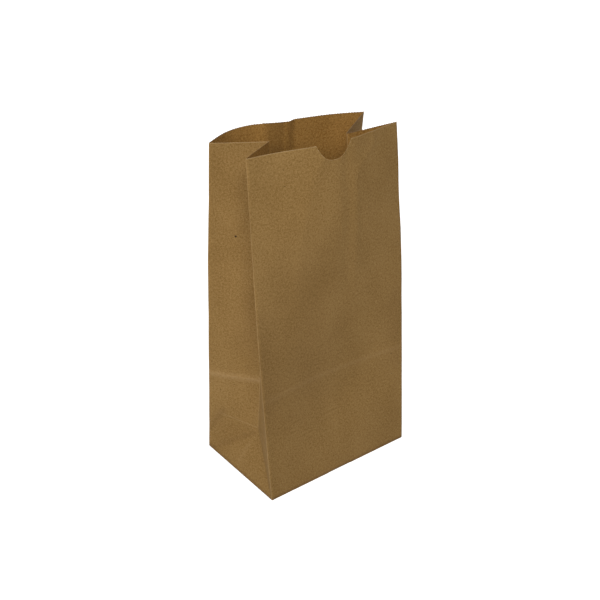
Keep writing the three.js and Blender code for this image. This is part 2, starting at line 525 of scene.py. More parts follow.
@dataclass(frozen=True)
class PressedRelief:
    """Small departures of the real sheet from its ideal folded form, in millimetres."""

    form: FoldedForm
    creases: tuple[Crease, ...]
    crumples: tuple[Crumple, ...] = (
        Crumple(0.75, 47.0, 62.0, 3.7),
        Crumple(0.16, 17.0, 23.0, 11.2),
        Crumple(0.035, 6.5, 7.5, 5.1),
    )
    crumple_start: float = 25.0
    fold_margin: float = 6.0
    dent: Hump = Hump(-6.8, 77.0, 46.0)
    swell: Hump = Hump(3.3, 218.0, 42.0)
    swell_skew: float = 1.1
    bends: NotchBends = NotchBends()

    def at(self, along: float, v: float) -> float:
        """Outward departure at a place of the sheet.

        Args:
            along: Distance round the bag.
            v: Height on the sheet.

        Returns:
            The departure.
        """
        sizes = self.form.sizes
        panel, into = self.form.panel(along)
        rest = along % sizes.girth
        total = sum(layer.at(rest, v) for layer in self.crumples) * smooth(v / self.crumple_start)
        if panel is Panel.FRONT:
            window = sin(pi * (into / sizes.width) ** self.swell_skew)
            total += (self.dent.at(v) + self.swell.at(v)) * window
            total += self.bends.at(into, sizes.height - v)
        inset = min(into, (sizes.width if panel.is_wide else sizes.half_gusset) - into)
        for crease in self.creases:
            if crease.panel is panel and crease.ridge:
                total += crease.ridge * crease.share(into, v) * smooth(inset / self.fold_margin)
        return total


@dataclass(frozen=True)
class FoldWear:
    """How far the hard folds have worn pale, from 0 to 1."""

    corner: float = 1.0
    centre: float = 0.7
    centre_foot: float = 0.08
    diagonal: float = 0.03
    knee: float = 0.55
    knee_start: float = 7.0
    knee_ease: float = 6.0
    near: float = 0.13

    def at(self, form: FoldedForm, along: float, v: float) -> float:
        """Wear at a place of the sheet.

        Args:
            form: The folded form.
            along: Distance round the bag.
            v: Height on the sheet.

        Returns:
            The wear.
        """
        s, starts = form.sizes, form.sizes.starts
        panel, into = form.panel(along)
        rest = along % s.girth
        wear = 0.0
        centres = (starts[Panel.RIGHT_BACK_HALF], starts[Panel.LEFT_FRONT_HALF])
        corners = [place for place in (*starts.values(), s.girth) if place not in centres]
        if v >= 0.0 and min(abs(rest - corner) for corner in corners) < self.near:
            wear = self.corner
        if v >= 0.0 and min(abs(rest - centre) for centre in centres) < self.near:
            wear = max(wear, self.centre if v >= s.knee_rise else self.centre_foot)
        if not panel.is_wide:
            first = panel in (Panel.RIGHT_FRONT_HALF, Panel.LEFT_BACK_HALF)
            across = into if first else s.half_gusset - into
            if abs(v - across * s.knee_share) < self.near * 2.0:
                wear = max(wear, self.diagonal)
            if abs(v - s.knee_rise) < self.near:
                wear = max(wear, self.knee * smooth((across - self.knee_start) / self.knee_ease))
        return wear


@dataclass
class PaperSheet:
    """The flat sheet: cut to shape, scored along its folds, then folded up.

    On the flat sheet x runs round the bag and y up it, in millimetres.
    """

    sizes: BagSizes
    form: FoldedForm
    relief: PressedRelief
    fold_wear: FoldWear = FoldWear()
    fold_radius: float = 0.8
    edge_band: float = 0.9
    column_step: float = 2.1
    row_step: float = 2.6
    free_margin: float = 2.0
    cut_margin: float = 1.0
    diagonal_margin: float = 3.0
    notch_margin: float = 4.0
    notch_steps: int = 26
    notch_overrun: float = 1.06
    band_reach: float = 4.0
    band_spread: float = 1.6
    merge_gap: float = 0.12
    sliver: float = 0.02
    on_line: float = 1.0e-4
    on_edge: float = 0.05
    on_notch: float = 0.35
    tooth: float = 0.35
    tooth_room: float = 1.2
    seam_lead: float = 3.0
    seam_lift: float = 1.3
    relief_start: float = 3.0
    # Darker line along the base fold.
    foot_darkening: Hump = Hump(0.9, 0.0, 1.2)
    teeth: set[int] = field(default_factory=set)

    @staticmethod
    def _spread(stops: list[float], step: float) -> list[float]:
        """Even cuts between stops.

        Args:
            stops: Places that get a cut each, in order.
            step: Wanted distance between cuts.

        Returns:
            The places of all cuts, in order.
        """
        cuts: list[float] = []
        for low, high in zip(stops, stops[1:]):
            count = max(round((high - low) / step), 1)
            cuts += [low + (high - low) * i / count for i in range(count)]
        return [*cuts, stops[-1]]

    def _columns(self) -> list[float]:
        """Upright cuts round the sheet, close together at each upright fold.

        Returns:
            The places of the cuts, from the inner free edge to the outer.
        """
        s = self.sizes
        start, end = s.sheet_start, s.sheet_end
        stops = [start, start + self.edge_band, end - self.edge_band, end]
        for turn in (0.0, s.girth):
            for fold in s.starts.values():
                if start + self.free_margin < fold + turn < end - self.free_margin:
                    stops += [fold + turn + side * self.fold_radius for side in (-1, 0, 1)]
        return self._spread(sorted(stops), self.column_step)

    def _rows(self) -> list[float]:
        """Level cuts across the sheet, close together at each level fold.

        Returns:
            The heights of the cuts, from the free edge of the base flaps to the rim.
        """
        s, r = self.sizes, self.fold_radius
        stops = [-s.flap, -s.flap + self.edge_band, -s.flap_turn, -r, 0.0, r]
        stops += [level + side * r for level in (s.knee_rise, s.depth) for side in (-1, 0, 1)]
        stops += [s.height - self.edge_band, s.height]
        return self._spread(stops, self.row_step)

    def _turns(self, place: float) -> list[float]:
        """A place round the bag, counted in each turn of the sheet that reaches it."""
        s, both = self.sizes, (place, place + self.sizes.girth)
        return [turn for turn in both if s.sheet_start - s.width <= turn <= s.sheet_end + s.width]

    def _score(self, mesh: bmesh.types.BMesh, faces: list, point: Place, across: Place) -> None:
        """Cuts faces of the flat sheet along a straight line.

        Args:
            mesh: The sheet.
            faces: The faces that may be cut.
            point: A place on the line.
            across: Direction square to the line.
        """
        verts = {vert for face in faces for vert in face.verts}
        edges = {edge for face in faces for edge in face.edges}
        bmesh.ops.bisect_plane(
            mesh,
            geom=[*verts, *edges, *faces],
            dist=self.on_line,
            plane_co=Vector((*point, 0.0)),
            plane_no=Vector((*across, 0.0)).normalized(),
        )

    @staticmethod
    def _faces_in(mesh: bmesh.types.BMesh, low: Place, high: Place) -> list:
        """Faces whose middle lies between two corners of the flat sheet.

        Args:
            mesh: The sheet.
            low: Lower left corner.
            high: Upper right corner.

        Returns:
            The faces.
        """
        inside = []
        for face in mesh.faces:
            x, y, _ = face.calc_center_median()
            if low[0] < x < high[0] and low[1] < y < high[1]:
                inside.append(face)
        return inside

    @staticmethod
    def _cut_away(
        mesh: bmesh.types.BMesh, faces: list, is_waste: Callable[[float, float], bool]
    ) -> None:
        """Deletes the faces whose middle lies in the waste."""
        waste = [face for face in faces if is_waste(*face.calc_center_median().xy)]
        bmesh.ops.delete(mesh, geom=waste, context="FACES")

    def cut_blank(self) -> bmesh.types.BMesh:
        """Cuts the flat sheet and scores it.

        Returns:
            The flat sheet.
        """
        s = self.sizes
        mesh = bmesh.new()
        length, tall = s.sheet_end - s.sheet_start, s.height + s.flap
        bmesh.ops.create_grid(mesh, x_segments=1, y_segments=1, size=0.5)
        bmesh.ops.scale(mesh, vec=(length, tall, 1.0), verts=mesh.verts)
        middle = ((s.sheet_start + s.sheet_end) / 2.0, (s.height - s.flap) / 2.0, 0.0)
        bmesh.ops.translate(mesh, vec=middle, verts=mesh.verts)
        columns = self._columns()
        self._score_teeth(mesh, columns)
        for place in columns[1:-1]:
            self._score(mesh, mesh.faces[:], (place, 0.0), (1.0, 0.0))
        for place in self._rows()[1:-1]:
            self._score(mesh, mesh.faces[:], (0.0, place), (0.0, 1.0))
        self._score_diagonals(mesh)
        self._score_bands(mesh)
        self._cut_flaps(mesh)
        self._cut_notch(mesh)
        bmesh.ops.remove_doubles(mesh, verts=mesh.verts, dist=self.merge_gap)
        bmesh.ops.dissolve_degenerate(mesh, edges=mesh.edges, dist=self.sliver)
        many = [face for face in mesh.faces if len(face.verts) > 4]
        bmesh.ops.triangulate(mesh, faces=many)
        return mesh

    @staticmethod
    def _tooth_key(along: float) -> int:
        """Place round the bag in hundredths of a millimetre, by which a tooth is found."""
        return round(along * 100.0)

    def _score_teeth(self, mesh: bmesh.types.BMesh, columns: list[float]) -> None:
        """Scores the rim between the upright cuts, where its small teeth have their valleys.

        Args:
            mesh: The sheet.
            columns: Places of the upright cuts.
        """
        rim = self.sizes.height - self.edge_band
        self._score(mesh, mesh.faces[:], (0.0, rim), (0.0, 1.0))
        for low, high in zip(columns, columns[1:]):
            if high - low > self.tooth_room:
                middle = (low + high) / 2.0
                band = [face for face in mesh.faces if face.calc_center_median().y > rim]
                self._score(mesh, band, (middle, 0.0), (1.0, 0.0))
                self.teeth.add(self._tooth_key(middle))

    def _score_diagonals(self, mesh: bmesh.types.BMesh) -> None:
        """Scores the slanted folds at the foot of each gusset.

        Args:
            mesh: The sheet.
        """
        s, half = self.sizes, self.sizes.half_gusset
        top = half + self.diagonal_margin
        for panel in (Panel.RIGHT_FRONT_HALF, Panel.LEFT_BACK_HALF):
            for start in self._turns(s.starts[panel]):
                halves = ((start, start, 1.0), (start + half, start + s.depth, -1.0))
                for low, corner, direction in halves:
                    for shift in (-1, 0, 1):
                        faces = self._faces_in(mesh, (low, 0.0), (low + half, top))
                        point = (corner, shift * self.fold_radius * sqrt(2.0))
                        self._score(mesh, faces, point, (-direction * s.knee_share, 1.0))

    def _score_bands(self, mesh: bmesh.types.BMesh) -> None:
        """Scores five lines across the width of each soft crease of the gussets.

        Args:
            mesh: The sheet.
        """
        s = self.sizes
        for crease in self.relief.creases:
            if crease.panel.is_wide or crease.mark is not Mark.BAND:
                continue
            for start in self._turns(s.starts[crease.panel]):
                (ax, ay), (bx, by) = crease.start, crease.end
                reach = self.band_reach * crease.half_width
                low = (start, min(ay, by) - reach)
                high = (start + s.half_gusset, max(ay, by) + reach)
                for shift in (-1.0, -0.5, 0.0, 0.5, 1.0):
                    faces = self._faces_in(mesh, low, high)
                    point = (start + ax, ay + shift * self.band_spread * crease.half_width)
                    self._score(mesh, faces, point, (ay - by, bx - ax))

    def _cut_flaps(self, mesh: bmesh.types.BMesh) -> None:
        """Slants the ends of the two wide base flaps along their 45 degree folds.

        Args:
            mesh: The sheet.
        """
        s = self.sizes
        for panel in (Panel.FRONT, Panel.BACK):
            for start in self._turns(s.starts[panel]):
                end = start + s.width
                low, high = (start, -s.flap - self.cut_margin), (end, 0.0)
                for corner, side in ((start, 1.0), (end, -1.0)):
                    self._score(mesh, self._faces_in(mesh, low, high), (corner, 0.0), (side, 1.0))
                faces = self._faces_in(mesh, low, high)
                self._cut_away(mesh, faces, lambda x, y: min(x - start, end - x) < -y)

    def notch_outline(self, grow: float) -> list[Place]:
        """Outline of the thumb notch on the front panel.

        Args:
            grow: Distance by which the outline is moved out into the paper.

        Returns:
            Places along the outline, from left to right.
        """
        s = self.sizes
        half, drop = s.notch_width / 2.0, s.notch_drop
        points = []
        for i in range(self.notch_steps + 1):
            t = self.notch_overrun * (2.0 * i / self.notch_steps - 1.0)
            rise = drop * abs(t) ** s.notch_curve
            slope = copysign(drop * s.notch_curve * abs(t) ** (s.notch_curve - 1.0) / half, t)
            length = sqrt(1.0 + slope * slope)
            x, y = t * half + grow * slope / length, rise - grow / length
            points.append((s.width / 2.0 + s.notch_centre + x, s.height - drop + y))
        return points

    def _cut_notch(self, mesh: bmesh.types.BMesh) -> None:
        """Cuts the thumb notch out of the front panel's rim.

        Args:
            mesh: The sheet.
        """
        s, margin = self.sizes, self.notch_margin
        middle = s.width / 2.0 + s.notch_centre + s.girth
        low = (middle - s.notch_width / 2.0 - margin, s.height - s.notch_drop - margin)
        high = (middle + s.notch_width / 2.0 + margin, s.height + self.cut_margin)
        for grow in (self.edge_band, 0.0):
            outline = self.notch_outline(grow)
            lines = []
            for (ax, ay), (bx, by) in zip(outline, outline[1:]):
                lines.append(((ax + s.girth, ay), (-(by - ay), bx - ax)))
            for point, across in lines:
                self._score(mesh, self._faces_in(mesh, low, high), point, across)
        self._cut_away(
            mesh,
            self._faces_in(mesh, low, high),
            lambda x, y: all((x - p[0]) * n[0] + (y - p[1]) * n[1] > 0.0 for p, n in lines),
        )

    def _is_cut(self, along: float, v: float) -> bool:
        """Whether a place lies on a free edge of the sheet that shows its cut.

        Args:
            along: Distance round the bag.
            v: Height on the sheet.

        Returns:
            True at the rim, the notch, the flaps' ends and the seam's outer edge.
        """
        s = self.sizes
        if along - s.sheet_start < self.on_edge:
            return False
        if s.sheet_end - along < self.on_edge:
            return True
        if v > s.height - self.on_edge or v < -s.flap + self.on_edge:
            return True
        panel, into = self.form.panel(along)
        if panel is not Panel.FRONT or v <= s.height - s.notch_drop - self.cut_margin:
            return False
        outline = self.notch_outline(0.0)
        return min(sqrt((into - x) ** 2 + (v - y) ** 2) for x, y in outline) < self.on_notch

    def _crease_wear(self, mark: Mark, panel: Panel, into: float, v: float) -> float:
        """How far the creases of one mark show at a place of the sheet, from 0 to 1.

        Args:
            mark: Kind of mark.
            panel: Panel of the place.
            into: Distance into the panel.
            v: Height on the sheet.

        Returns:
            The largest share of any such crease.
        """
        near = [line for line in self.relief.creases if line.panel is panel and line.mark is mark]
        return max((line.wear * line.share(into, v) for line in near), default=0.0)

    def fold_up(self, mesh: bmesh.types.BMesh) -> None:
        """Marks the flat sheet's wear, stains and painted shade and keeps its places as UVs, then folds
        it.

        Args:
            mesh: The flat sheet, which becomes the standing bag.
        """
        s = self.sizes
        uv_layer = mesh.loops.layers.uv.new(SHEET_UV)
        marks = {mark: mesh.verts.layers.float.new(mark.value) for mark in Mark}
        for face in mesh.faces:
            for loop in face.loops:
                loop[uv_layer].uv = (loop.vert.co.x * MM, loop.vert.co.y * MM)
        places: list[Vector] = []
        for vert in mesh.verts:
            along, v = vert.co.x, vert.co.y
            panel, into = self.form.panel(along)
            # Stains and painted shade from the listed stretches.
            marked_stain_and_shade = self._crease_wear(Mark.STAIN_AND_SHADE, panel, into, v)
            vert[marks[Mark.FOLD]] = self.fold_wear.at(self.form, along, v)
            vert[marks[Mark.BAND]] = self._crease_wear(Mark.BAND, panel, into, v)
            # Stains and painted shade from the creases, and the darker line along the base fold.
            vert[marks[Mark.STAIN_AND_SHADE]] = max(marked_stain_and_shade, self.foot_darkening.at(v))
            vert[marks[Mark.CUT]] = float(self._is_cut(along, v))
            if v > s.height - self.on_edge and self._tooth_key(along) in self.teeth:
                v -= self.tooth
            outer = along > s.sheet_end - s.seam_width - self.seam_lead
            places.append(self._folded(along, v, outer))
        for vert, place in zip(mesh.verts, places):
            vert.co = place * MM

    def _folded(self, along: float, v: float, outer: bool) -> Vector:
        """Point of the folded bag, with its folds rounded and its relief added.

        Args:
            along: Distance round the bag.
            v: Height on the sheet.
            outer: Whether the place is in the seam's outer layer or next to it.

        Returns:
            The point in millimetres.
        """
        form, r = self.form, self.fold_radius
        if v < -r:
            return form.place(along, v, outer)
        above, below = form.place(along, v + r, outer), form.place(along, v - r, outer)
        if v < 0.0:
            return (below + above) / 2.0
        right, left = form.place(along + r, v, outer), form.place(along - r, v, outer)
        point = (right + left + above + below) / 4.0
        normal = (right - left).cross(above - below)
        normal.normalize()
        lift = self.relief.at(along, v)
        if outer:
            past = along - self.sizes.sheet_end + self.sizes.seam_width + self.seam_lead
            lift += self.seam_lift * self.sizes.paper * smooth(past / self.seam_lead)
        return point + normal * lift * smooth(v / self.relief_start)


@dataclass
class NodeTree:
    """Short ways to add and join shader nodes."""

    tree: bpy.types.NodeTree

    @classmethod
    def of(cls, owner: bpy.types.Material | bpy.types.World) -> "NodeTree":
        """Emptied node tree of a material or a world.

        Args:
            owner: The material or world.

        Returns:
            Its node tree.
        """
        owner.use_nodes = True
        owner.node_tree.nodes.clear()
        return cls(owner.node_tree)

    def add(self, kind: str, inputs: dict | None = None, **settings: object) -> bpy.types.Node:
        """Adds a node.

        Args:
            kind: Blender's name of the kind of node.
            inputs: Sockets to join or values to set, by the input's name or number.
            settings: The node's own properties, which are set first.

        Returns:
            The node.
        """
        node = self.tree.nodes.new(kind)
        for key, value in settings.items():
            setattr(node, key, value)
        for key, value in (inputs or {}).items():
            if isinstance(value, Socket):
                self.tree.links.new(value, node.inputs[key])
            else:
                node.inputs[key].default_value = value
        return node

    def attribute(self, mark: Mark) -> Socket:
        """Wear painted on the piece's points."""
        return self.add("ShaderNodeAttribute", attribute_name=mark.value).outputs["Fac"]

    def math(self, operation: str, *values: object, clamp: bool = False) -> Socket:
        """Result of a math node on sockets or numbers, kept from 0 to 1 by clamp."""
        inputs, settings = dict(enumerate(values)), {"operation": operation, "use_clamp": clamp}
        return self.add("ShaderNodeMath", inputs, **settings).outputs["Value"]

    def scaled(self, vector: Socket, factors: Triple) -> Socket:
        """A vector multiplied by three numbers."""
        inputs = {0: vector, 1: factors}
        return self.add("ShaderNodeVectorMath", inputs, operation="MULTIPLY").outputs["Vector"]

    def turned(self, vector: Socket, degrees: float) -> Socket:
        """A vector turned in the plane of the sheet."""
        inputs = {"Vector": vector, "Angle": radians(degrees)}
        return self.add("ShaderNodeVectorRotate", inputs, rotation_type="Z_AXIS").outputs["Vector"]

    def noise(self, vector: Socket, detail: float, rough: float) -> Socket:
        """Noise at a scale of 1, from 0 to 1."""
        inputs = {"Vector": vector, "Scale": 1.0, "Detail": detail, "Roughness": rough}
        return self.add("ShaderNodeTexNoise", inputs, noise_dimensions="3D").outputs["Fac"]

    def ramp(self, value: Socket, low: float, high: float) -> Socket:
        """Value eased from 0 at low to 1 at high."""
        inputs = {"Value": value, "From Min": low, "From Max": high}
        return self.add("ShaderNodeMapRange", inputs, interpolation_type="SMOOTHSTEP").outputs["Result"]

    def mix_colour(self, share: Socket, first: Triple | Socket, second: Triple | Socket) -> Socket:
        """Colour between two plain or changing colours.

        Args:
            share: Share of the second colour.
            first: The first colour.
            second: The second colour.

        Returns:
            The colour.
        """
        ends = [(*end, 1.0) if isinstance(end, tuple) else end for end in (first, second)]
        inputs = {"Factor": share, 6: ends[0], 7: ends[1]}
        return self.add("ShaderNodeMix", inputs, data_type="RGBA").outputs[2]

    def blend(self, mask: Socket, most: float, under: Socket, over: Triple) -> Socket:
        """Lays a plain colour over a changing one, by a mask times its largest share."""
        return self.mix_colour(self.math("MULTIPLY", mask, most, clamp=True), under, over)


def new_group(name: str, inputs: dict[str, str], outputs: tuple[str, ...]) -> NodeTree:
    """Starts a shader node group.

    Args:
        name: The group's name.
        inputs: Kind of each input, by its name.
        outputs: Names of the outputs, which are values.

    Returns:
        The group's empty node tree.
    """
    group = bpy.data.node_groups.new(name, "ShaderNodeTree")
    for title, kind in inputs.items():
        group.interface.new_socket(name=title, in_out="INPUT", socket_type=kind)
    for title in outputs:
        group.interface.new_socket(name=title, in_out="OUTPUT", socket_type="NodeSocketFloat")
    return NodeTree(group)


@dataclass(frozen=True)
class PulpNoise:
    """One layer of noise in the pulp, with its scale for each millimetre of the sheet."""

    scale: Triple
    detail: float
    rough: float
    turn: float = 0.0

    def on(self, tree: NodeTree, sheet: Socket) -> Socket:
        """Adds the layer at a place on the sheet."""
        place = tree.turned(sheet, self.turn) if self.turn else sheet
        return tree.noise(tree.scaled(place, self.scale), self.detail, self.rough)


@dataclass(frozen=True)
class PaperPulp:
    """Mottled pulp with fibres and specks, as a node group that is built once."""

    name: str = "paper_pulp"
    clouds: PulpNoise = PulpNoise((0.035, 0.022, 1.0), 3.0, 0.5)
    mottle: PulpNoise = PulpNoise((0.66, 0.56, 1.0), 4.0, 0.72)
    grain: PulpNoise = PulpNoise((1.3, 1.1, 1.0), 2.0, 0.55)
    long_fibres: PulpNoise = PulpNoise((2.6, 0.42, 1.0), 2.0, 0.6, 8.0)
    cross_fibres: PulpNoise = PulpNoise((2.2, 0.4, 1.0), 2.0, 0.6, 67.0)
    cloud_share: float = 0.35
    mottle_share: float = 1.05
    grain_share: float = 0.8
    fibre_share: float = 0.3
    tone_range: Place = (1.0, 1.8)
    long_pale: Place = (0.66, 0.76)
    cross_pale: Place = (0.67, 0.77)
    speck_scale: Triple = (0.085, 0.085, 1.0)
    speck_rarity: float = 6.0
    speck_size: float = 0.036
    speck_edge: Place = (-0.006, 0.012)
    grain_height: float = 0.6
    fibre_height: float = 0.5

    def group(self) -> bpy.types.NodeTree:
        """Finds or builds the group.

        Returns:
            A group from a place on the sheet to its tone, fibres, specks and height.
        """
        if self.name in bpy.data.node_groups:
            return bpy.data.node_groups[self.name]
        titles = ("Tone", "Pale Fibres", "Specks", "Height")
        tree = new_group(self.name, {"Sheet": "NodeSocketVector"}, titles)
        sheet = tree.scaled(tree.add("NodeGroupInput").outputs["Sheet"], (1.0 / MM,) * 3)
        clouds, mottle, grain = (part.on(tree, sheet) for part in (self.clouds, self.mottle, self.grain))
        along, across = (part.on(tree, sheet) for part in (self.long_fibres, self.cross_fibres))
        fibres = tree.math("ADD", along, across)
        total = tree.math("MULTIPLY", clouds, self.cloud_share)
        total = tree.math("MULTIPLY_ADD", mottle, self.mottle_share, total)
        total = tree.math("MULTIPLY_ADD", grain, self.grain_share, total)
        total = tree.math("MULTIPLY_ADD", fibres, self.fibre_share, total)
        long_pale, cross_pale = tree.ramp(along, *self.long_pale), tree.ramp(across, *self.cross_pale)
        height = tree.math("MULTIPLY", fibres, self.fibre_height)
        outputs = {
            "Tone": tree.ramp(total, *self.tone_range),
            "Pale Fibres": tree.math("MAXIMUM", long_pale, cross_pale),
            "Specks": self._specks(tree, sheet),
            "Height": tree.math("MULTIPLY_ADD", grain, self.grain_height, height),
        }
        tree.add("NodeGroupOutput", outputs)
        return tree.tree

    def _specks(self, tree: NodeTree, sheet: Socket) -> Socket:
        """Mask of small dark specks of many sizes, the larger ones rare.

        Args:
            tree: Node tree of the group.
            sheet: Place on the sheet in millimetres.

        Returns:
            The mask.
        """
        inputs = {"Vector": tree.scaled(sheet, self.speck_scale), "Scale": 1.0}
        cells = tree.add("ShaderNodeTexVoronoi", inputs, voronoi_dimensions="2D", feature="F1")
        chance = tree.add("ShaderNodeSeparateColor", {"Color": cells.outputs["Color"]}).outputs["Red"]
        size = tree.math("MULTIPLY", tree.math("POWER", chance, self.speck_rarity), self.speck_size)
        return tree.ramp(tree.math("SUBTRACT", size, cells.outputs["Distance"]), *self.speck_edge)


@dataclass(frozen=True)
class BrokenWear:
    """Wear that is broken up along the fibres, as a node group that is built once."""

    name: str = "broken_wear"
    scale: Triple = (420.0, 420.0, 1000.0)
    detail: float = 3.0
    rough: float = 0.65
    edge: Place = (0.25, 0.7)
    least: float = 0.25

    def group(self) -> bpy.types.NodeTree:
        """Finds or builds the group.

        Returns:
            A group from a painted wear value and a place on the sheet to a mask.
        """
        if self.name in bpy.data.node_groups:
            return bpy.data.node_groups[self.name]
        inputs = {"Wear": "NodeSocketFloat", "Sheet": "NodeSocketVector"}
        tree = new_group(self.name, inputs, ("Mask",))
        source = tree.add("NodeGroupInput").outputs
        fibres = tree.noise(tree.scaled(source["Sheet"], self.scale), self.detail, self.rough)
        rough = tree.ramp(fibres, *self.edge)
        broken = tree.math("MULTIPLY_ADD", rough, 1.0 - self.least, self.least)
        tree.add("NodeGroupOutput", {"Mask": tree.math("MULTIPLY", source["Wear"], broken, clamp=True)})
        return tree.tree


@dataclass(frozen=True)
class KraftFinish:
    """Unbleached brown paper: mottled pulp, fibres, specks, stains, worn folds and pale cut edges, with
    painted shade over the seam and in soft patches, and painted bounced light on the inner face.
    """

    name: str = "kraft_paper"
    pulp: PaperPulp = PaperPulp()
    wear: BrokenWear = BrokenWear()
    pulp_dark: Triple = (0.188, 0.102, 0.025)
    pulp_light: Triple = (0.362, 0.219, 0.078)
    # Lighter, warmer colours of the inner face: painted bounced light that passes through and between
    # the thin walls.
    inside_bounce_dark: Triple = (0.192, 0.089, 0.013)
    inside_bounce_light: Triple = (0.481, 0.264, 0.075)
    worn: Triple = (0.46, 0.30, 0.14)
    cut: Triple = (0.50, 0.34, 0.17)
    speck: Triple = (0.035, 0.018, 0.008)
    # Painted shade over the seam's two layers, which let less light through.
    doubled_shade: Triple = (0.085, 0.042, 0.010)
    # Dark brown for stains and for painted shade.
    stain_and_shade: Triple = (0.085, 0.038, 0.012)
    fold_share: float = 0.8
    band_share: float = 0.5
    cut_share: float = 0.66
    fibre_share: float = 0.45
    speck_share: float = 0.72
    dot_share: float = 0.97
    doubled_shade_share: float = 0.34
    stain_and_shade_share: float = 0.6
    dot_size: float = 0.00105
    dot_core: float = 0.55
    doubled_rise: Place = (0.0, 0.004)
    doubled_fall: Place = (0.001, -0.006)
    roughness: float = 0.82
    specular: float = 0.15
    bump_strength: float = 0.55
    bump_distance: float = 0.00012

    def dress(self, piece: bpy.types.Object, dot: Place, seam: Place) -> None:
        """Builds the material and gives it to a piece.

        Args:
            piece: The bag.
            dot: Place on the sheet of its one large dark speck, in metres.
            seam: Where the seam's inner layer starts and ends round the sheet, in metres.
        """
        material = bpy.data.materials.new(self.name)
        tree = NodeTree.of(material)
        sheet = tree.add("ShaderNodeUVMap", uv_map=SHEET_UV).outputs["UV"]
        pulp = tree.add("ShaderNodeGroup", {"Sheet": sheet}, node_tree=self.pulp.group()).outputs
        tone = tree.mix_colour(pulp["Tone"], self.pulp_dark, self.pulp_light)
        # The inner face takes the lighter, warmer colours: painted bounced light.
        painted_bounce = tree.mix_colour(pulp["Tone"], self.inside_bounce_dark, self.inside_bounce_light)
        colour = tree.mix_colour(tree.attribute(Mark.INNER), tone, painted_bounce)
        layers = (
            (self._worn(tree, sheet, Mark.FOLD), self.fold_share, self.worn),
            (self._worn(tree, sheet, Mark.BAND), self.band_share, self.worn),
            (tree.attribute(Mark.CUT), self.cut_share, self.cut),
            (pulp["Pale Fibres"], self.fibre_share, self.cut),
            (pulp["Specks"], self.speck_share, self.speck),
            (self._dot(tree, sheet, dot), self.dot_share, self.speck),
            # Painted shade where the seam's two layers let less light through.
            (self._doubled_shade(tree, sheet, seam), self.doubled_shade_share, self.doubled_shade),
            # Stains together with painted shade in soft patches and below folds, and the darker base and
            # inner rim lines.
            (tree.attribute(Mark.STAIN_AND_SHADE), self.stain_and_shade_share, self.stain_and_shade),
        )
        for mask, most, over in layers:
            colour = tree.blend(mask, most, colour, over)
        inputs = {"Strength": self.bump_strength, "Distance": self.bump_distance}
        bump = tree.add("ShaderNodeBump", {**inputs, "Height": pulp["Height"]})
        inputs = {"Roughness": self.roughness, "Specular IOR Level": self.specular}
        inputs |= {"Base Color": colour, "Normal": bump.outputs["Normal"]}
        shader = tree.add("ShaderNodeBsdfPrincipled", inputs)
        tree.add("ShaderNodeOutputMaterial", {"Surface": shader.outputs["BSDF"]})
        piece.data.materials.clear()
        piece.data.materials.append(material)

    def _worn(self, tree: NodeTree, sheet: Socket, mark: Mark) -> Socket:
        """Mask of one kind of painted wear, broken up along the fibres."""
        inputs = {"Wear": tree.attribute(mark), "Sheet": sheet}
        return tree.add("ShaderNodeGroup", inputs, node_tree=self.wear.group()).outputs["Mask"]

    def _dot(self, tree: NodeTree, sheet: Socket, dot: Place) -> Socket:
        """Mask of a round spot at a place of the sheet."""
        gap = tree.add("ShaderNodeVectorMath", {0: sheet, 1: (*dot, 0.0)}, operation="DISTANCE")
        return tree.ramp(gap.outputs["Value"], self.dot_size, self.dot_size * self.dot_core)

    def _doubled_shade(self, tree: NodeTree, sheet: Socket, seam: Place) -> Socket:
        """Mask of the seam's inner layer, eased at both ends, for painted shade where two layers let
        less light through.

        Args:
            tree: The material's node tree.
            sheet: Place on the sheet.
            seam: Where the layer starts and ends round the sheet, in metres.

        Returns:
            The mask.
        """
        x = tree.add("ShaderNodeSeparateXYZ", {"Vector": sheet}).outputs["X"]
        past_start = tree.ramp(x, *(seam[0] + shift for shift in self.doubled_rise))
        before_end = tree.ramp(x, *(seam[1] + shift for shift in self.doubled_fall))
        return tree.math("MULTIPLY", past_start, before_end)


